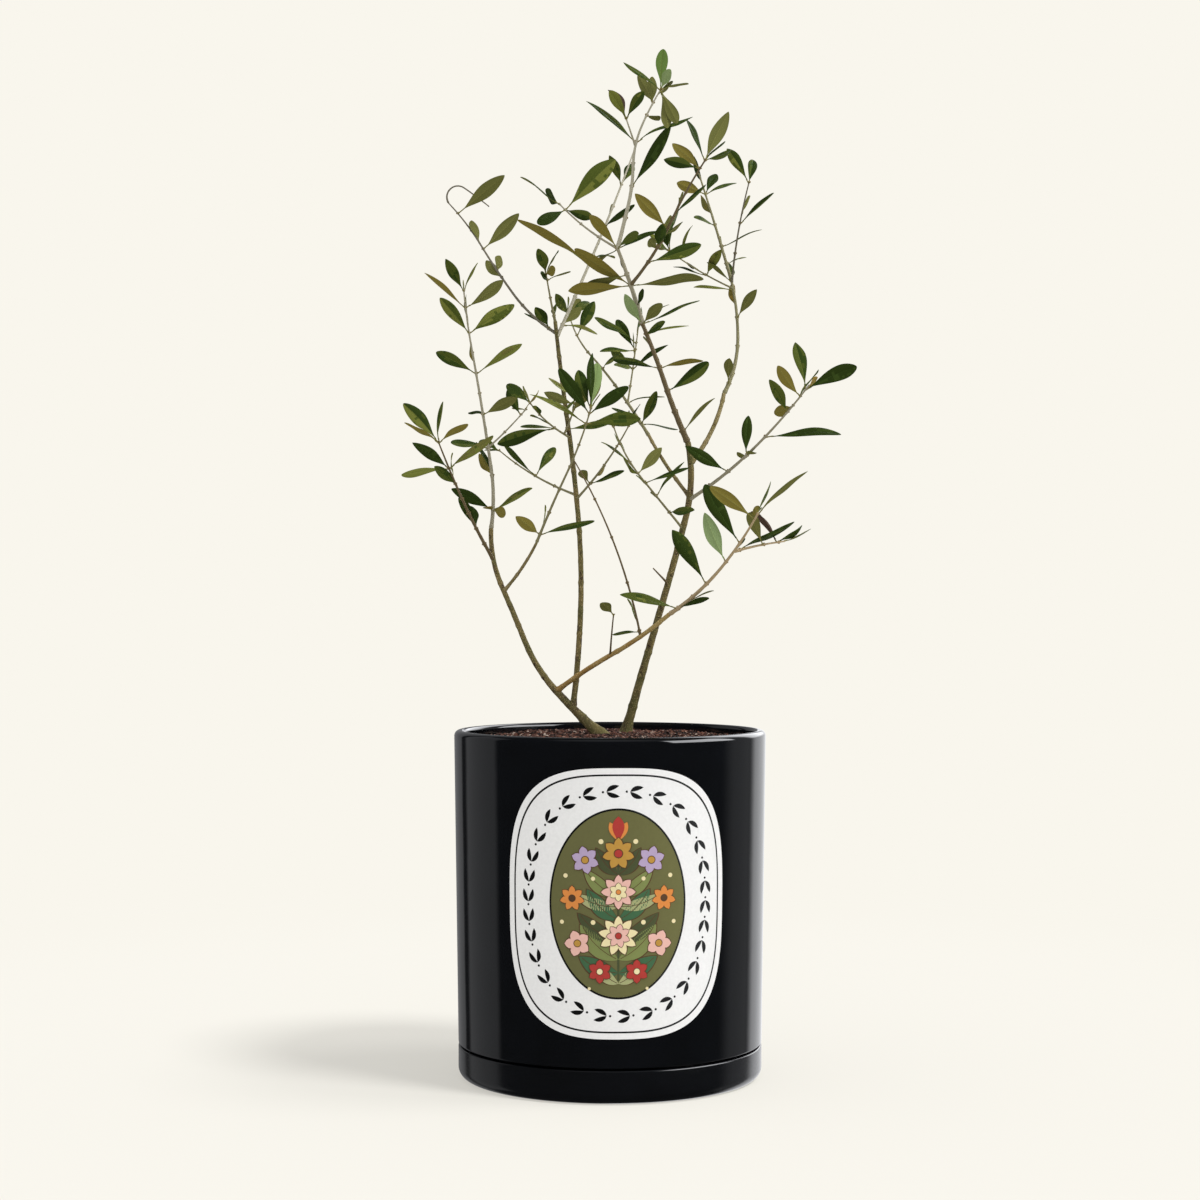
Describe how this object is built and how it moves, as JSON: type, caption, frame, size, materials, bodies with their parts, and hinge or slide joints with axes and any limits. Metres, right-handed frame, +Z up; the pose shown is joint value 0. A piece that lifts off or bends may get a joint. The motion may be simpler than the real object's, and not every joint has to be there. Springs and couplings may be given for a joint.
{
  "type": "potted olive tree",
  "caption": "Young olive tree with slender branching stems and sparse narrow leaves, planted in a straight-sided glossy pot that stands in a matching low saucer.",
  "frame": {"origin": "centre of the saucer's flat underside", "axes": "+Z up along the axis of pot and saucer, -Y towards the front view"},
  "size_m": [0.3527, 0.2832, 0.8158],
  "materials": {
    "black_glaze": "gloss",
    "dark_soil": "granular, moist",
    "olive_bark": "thin grey-brown bark",
    "olive_foliage": "leathery leaves, semi-matt"
  },
  "bodies": {
    "root": {"saucer": "black_glaze", "pot": "black_glaze", "soil": "dark_soil", "left_trunk": "olive_bark", "right_trunk": "olive_bark", "middle_stem": "olive_bark", "low_bough": "olive_bark", "left_inner_bough": "olive_bark", "spire_bough": "olive_bark", "crossing_bough": "olive_bark", "left_leader_foliage": "olive_foliage", "left_outer_foliage": "olive_foliage", "left_inner_foliage": "olive_foliage", "middle_left_foliage": "olive_foliage", "middle_right_foliage": "olive_foliage", "heart_foliage": "olive_foliage", "bud_foliage": "olive_foliage", "arching_foliage": "olive_foliage", "inner_spire_foliage": "olive_foliage", "right_leader_foliage": "olive_foliage", "spire_foliage": "olive_foliage", "right_outer_foliage": "olive_foliage", "crossing_foliage": "olive_foliage", "thin_foliage": "olive_foliage", "low_foliage": "olive_foliage", "whip_twig": "olive_foliage", "spoon_spur": "olive_foliage", "thorn_spur": "olive_foliage"}
  },
  "joints": []
}
